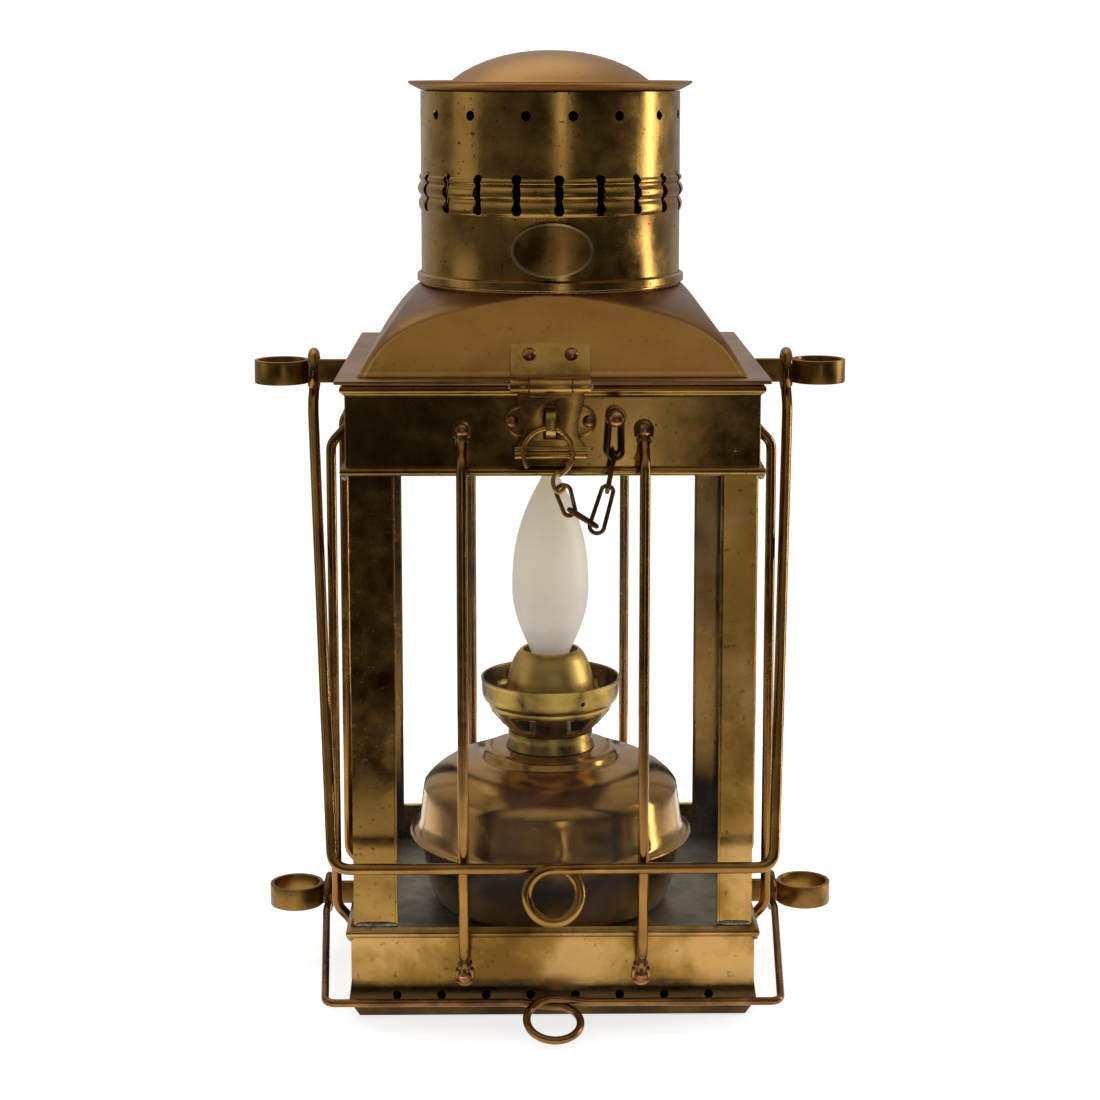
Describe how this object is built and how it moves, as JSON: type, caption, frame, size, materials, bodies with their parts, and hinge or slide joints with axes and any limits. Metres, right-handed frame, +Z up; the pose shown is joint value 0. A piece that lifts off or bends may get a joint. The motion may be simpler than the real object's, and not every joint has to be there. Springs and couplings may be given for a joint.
{
  "type": "ship lantern",
  "caption": "Square ship lantern with glass panes, guard rods, hinged roof with round chimney, two wire bails, side rings, hasp with key ring, and a lamp with a flame-shaped bulb.",
  "frame": {"origin": "centre of the underside of the base, on the surface that the lantern stands on", "axes": "+Z up, -Y towards the hasp side, +X to the right as seen from the hasp side"},
  "size_m": [0.2666, 0.2217, 0.4139],
  "materials": {
    "mottled_brass": "mottled aged",
    "dark_brass": "dark patina",
    "grey_sheet": "dull grey",
    "pane_glass": "clear",
    "wire_brass": "rubbed brown",
    "ring_brass": "satin brown",
    "flange_brass": "satin pink-brown",
    "hood_brass": "satin",
    "chimney_brass": "spotted aged",
    "hinge_brass": "satin",
    "copper": "dull copper",
    "pin_steel": "dull",
    "key_brass": "satin",
    "chain_bronze": "dark",
    "font_brass": "aged",
    "burner_brass": "yellow satin",
    "socket_plastic": "matte",
    "cap_metal": "satin",
    "frosted_glass": "frosted glass"
  },
  "bodies": {
    "case": {"bottom_plate": "dark_brass", "base_band": "mottled_brass", "floor_plate": "grey_sheet", "corner_post_front_left": "dark_brass", "corner_post_front_right": "mottled_brass", "corner_post_rear_left": "dark_brass", "corner_post_rear_right": "dark_brass", "glass_pane_front": "pane_glass", "glass_pane_right": "pane_glass", "glass_pane_rear": "pane_glass", "glass_pane_left": "pane_glass", "upper_band": "dark_brass", "guard_rod_front_1": "wire_brass", "guard_rod_front_2": "wire_brass", "guard_rod_right_1": "wire_brass", "guard_rod_right_2": "wire_brass", "guard_rod_rear_1": "wire_brass", "guard_rod_rear_2": "wire_brass", "guard_rod_left_1": "wire_brass", "guard_rod_left_2": "wire_brass", "upper_ring_left": "ring_brass", "upper_ring_right": "ring_brass", "lower_ring_left": "ring_brass", "lower_ring_right": "ring_brass", "staple_plate": "hinge_brass", "staple": "hinge_brass", "staple_rivet_1": "copper", "staple_rivet_2": "copper", "chain_rivet": "copper", "rear_hinge_lower_leaf": "hinge_brass", "rear_hinge_pin": "pin_steel", "font_pan": "font_brass", "font_cover": "font_brass", "font_collar": "burner_brass", "burner_cage": "burner_brass", "gallery_ring": "burner_brass", "burner_dome": "burner_brass", "lamp_socket": "socket_plastic", "bulb_cap": "cap_metal", "bulb_glass": "frosted_glass"},
    "lid": {"roof_flange": "flange_brass", "roof_hood": "hood_brass", "chimney": "chimney_brass", "chimney_skirt": "chimney_brass", "cap": "hood_brass", "badge": "chimney_brass", "front_hinge_plate": "hinge_brass", "hinge_rivet_1": "copper", "hinge_rivet_2": "copper", "front_hinge_pin": "pin_steel", "rear_hinge_upper_leaf": "hinge_brass"},
    "hasp": {"hasp": "hinge_brass"},
    "upper_bail": {"upper_bail": "wire_brass"},
    "lower_bail": {"lower_bail": "wire_brass"},
    "key": {"key_ring": "key_brass"},
    "link_1": {"chain_link_1": "chain_bronze"},
    "link_2": {"chain_link_2": "chain_bronze"},
    "link_3": {"chain_link_3": "chain_bronze"},
    "link_4": {"chain_link_4": "chain_bronze"},
    "link_5": {"chain_link_5": "chain_bronze"}
  },
  "joints": [
    {"name": "lid_swing", "type": "hinge", "parent": "case", "child": "lid", "pos_m": [-0.001, 0.0942, 0.2762], "axis": [-1, 0, 0], "range_deg": [0, 110]},
    {"name": "hasp_swing", "type": "hinge", "parent": "lid", "child": "hasp", "pos_m": [-0.001, -0.0942, 0.2762], "axis": [-1, 0, 0], "range_deg": [0, 150]},
    {"name": "upper_bail_swing", "type": "hinge", "parent": "case", "child": "upper_bail", "pos_m": [0, 0, 0.27075], "axis": [-1, 0, 0], "range_deg": [0, 304]},
    {"name": "lower_bail_swing", "type": "hinge", "parent": "case", "child": "lower_bail", "pos_m": [0, 0, 0.026], "axis": [1, 0, 0], "range_deg": [-5, 167]},
    {"name": "key_draw", "type": "slide", "parent": "case", "child": "key", "axis": [0, -1, 0], "range_m": [0, 0.08]},
    {"name": "link_1_swing", "type": "hinge", "parent": "case", "child": "link_1", "pos_m": [0.0262, -0.0936, 0.2624], "axis": [0, 1, 0], "range_deg": [-8, 12]},
    {"name": "link_2_swing", "type": "hinge", "parent": "link_1", "child": "link_2", "pos_m": [0.0257, -0.0936, 0.2485], "axis": [0, 1, 0], "range_deg": [-10, 10]},
    {"name": "link_3_swing", "type": "hinge", "parent": "link_2", "child": "link_3", "pos_m": [0.02312, -0.0936, 0.2343], "axis": [0, 1, 0], "range_deg": [-10, 10]},
    {"name": "link_4_swing", "type": "hinge", "parent": "link_3", "child": "link_4", "pos_m": [0.0182, -0.0936, 0.21719], "axis": [0, 1, 0], "range_deg": [-10, 10]},
    {"name": "link_5_swing", "type": "hinge", "parent": "link_4", "child": "link_5", "pos_m": [0.00738, -0.0936, 0.22192], "axis": [0, 1, 0], "range_deg": [-10, 10]}
  ],
  "couplings": [
    {"joint": "key_draw", "follows": "hasp_swing", "m_per_rad": 0.03}
  ]
}
